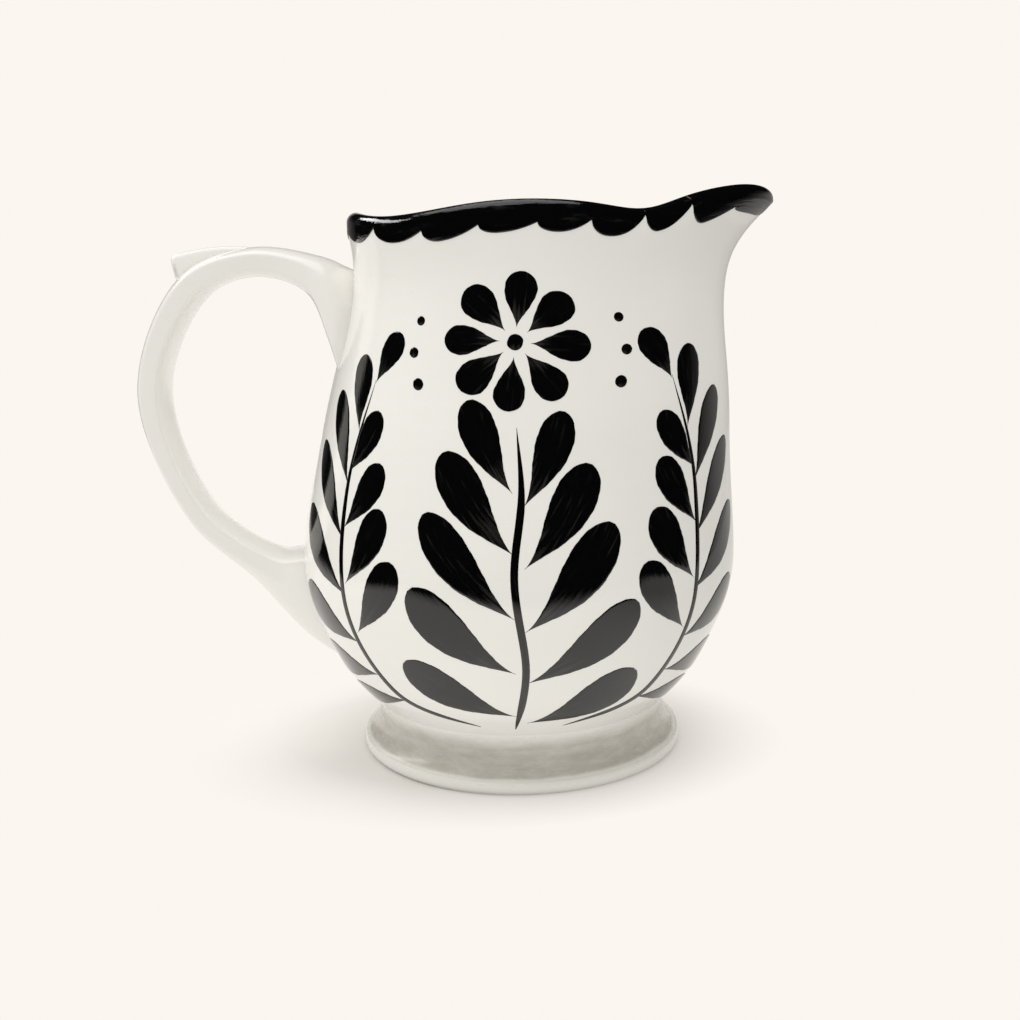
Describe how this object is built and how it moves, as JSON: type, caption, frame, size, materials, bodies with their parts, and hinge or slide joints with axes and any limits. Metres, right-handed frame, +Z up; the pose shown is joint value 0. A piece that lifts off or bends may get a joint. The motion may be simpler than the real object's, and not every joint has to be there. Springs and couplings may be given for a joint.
{
  "type": "water pitcher",
  "caption": "Pear-shaped glazed ceramic water pitcher with a drawn-out spout, a black scalloped rim, a strap handle with a thumb rest and a flared foot ring",
  "frame": {"origin": "middle of the part's box, seen from above, at the level of the table that the foot ring stands on", "axes": "+X runs from the handle to the spout in the mirror plane, +Y across the pitcher, +Z up"},
  "size_m": [0.2132, 0.1474, 0.188],
  "materials": {
    "white_glaze": "glossy opaque white glaze over fired clay",
    "black_glaze": "glossy black brushed glaze",
    "taupe_glaze": "thin mottled taupe-grey glaze"
  },
  "bodies": {
    "root": {"vessel_body": "white_glaze", "pouring_spout": "white_glaze", "rim_bead": "black_glaze", "foot_ring": "taupe_glaze", "handle_strap": "white_glaze", "upper_handle_collar": "white_glaze", "lower_handle_collar": "white_glaze", "thumb_rest": "white_glaze"}
  },
  "joints": []
}
